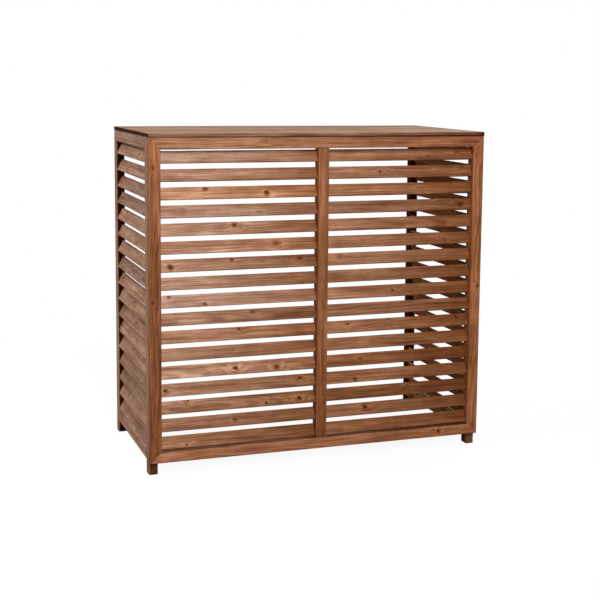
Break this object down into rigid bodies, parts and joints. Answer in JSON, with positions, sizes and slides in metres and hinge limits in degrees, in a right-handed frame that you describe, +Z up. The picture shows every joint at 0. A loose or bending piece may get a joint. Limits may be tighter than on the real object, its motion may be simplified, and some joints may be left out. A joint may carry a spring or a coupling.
{
  "type": "air conditioner cover",
  "caption": "Free-standing louvred timber cover for an outdoor air conditioner unit, with a two-bay slatted front, slatted sides, a flat board lid, short feet and an open back.",
  "frame": {"origin": "on the ground at the middle of the footprint", "axes": "+X to the right as seen from the front, +Y from the front to the back, +Z up"},
  "size_m": [1, 0.5, 0.946],
  "materials": {
    "frame_timber": "red-brown stained softwood, matt",
    "slat_timber": "red-brown stained softwood, matt",
    "post_timber": "red-brown stained softwood, matt",
    "lid_timber": "red-brown stained softwood, matt",
    "screw_steel": "plated steel"
  },
  "bodies": {
    "root": {"front_top_rail": "frame_timber", "front_bottom_rail": "frame_timber", "front_left_stile": "frame_timber", "front_right_stile": "frame_timber", "front_centre_stile": "frame_timber", "front_left_slat_01": "slat_timber", "front_left_slat_02": "slat_timber", "front_left_slat_03": "slat_timber", "front_left_slat_04": "slat_timber", "front_left_slat_05": "slat_timber", "front_left_slat_06": "slat_timber", "front_left_slat_07": "slat_timber", "front_left_slat_08": "slat_timber", "front_left_slat_09": "slat_timber", "front_left_slat_10": "slat_timber", "front_left_slat_11": "slat_timber", "front_left_slat_12": "slat_timber", "front_left_slat_13": "slat_timber", "front_left_slat_14": "slat_timber", "front_left_slat_15": "slat_timber", "front_left_slat_16": "slat_timber", "front_left_slat_17": "slat_timber", "front_right_slat_01": "slat_timber", "front_right_slat_02": "slat_timber", "front_right_slat_03": "slat_timber", "front_right_slat_04": "slat_timber", "front_right_slat_05": "slat_timber", "front_right_slat_06": "slat_timber", "front_right_slat_07": "slat_timber", "front_right_slat_08": "slat_timber", "front_right_slat_09": "slat_timber", "front_right_slat_10": "slat_timber", "front_right_slat_11": "slat_timber", "front_right_slat_12": "slat_timber", "front_right_slat_13": "slat_timber", "front_right_slat_14": "slat_timber", "front_right_slat_15": "slat_timber", "front_right_slat_16": "slat_timber", "front_right_slat_17": "slat_timber", "left_front_post": "post_timber", "right_front_post": "post_timber", "left_rear_post": "post_timber", "right_rear_post": "post_timber", "left_top_rail": "post_timber", "right_top_rail": "post_timber", "left_bottom_rail": "post_timber", "right_bottom_rail": "post_timber", "left_side_slats": "slat_timber", "right_side_slats": "slat_timber", "rear_top_rail": "post_timber", "lid_board_1": "lid_timber", "lid_board_2": "lid_timber", "lid_board_3": "lid_timber", "lid_board_4": "lid_timber", "lid_centre_batten": "post_timber", "lid_screws": "screw_steel", "panel_screws": "screw_steel", "frame_screws": "screw_steel"}
  },
  "joints": []
}
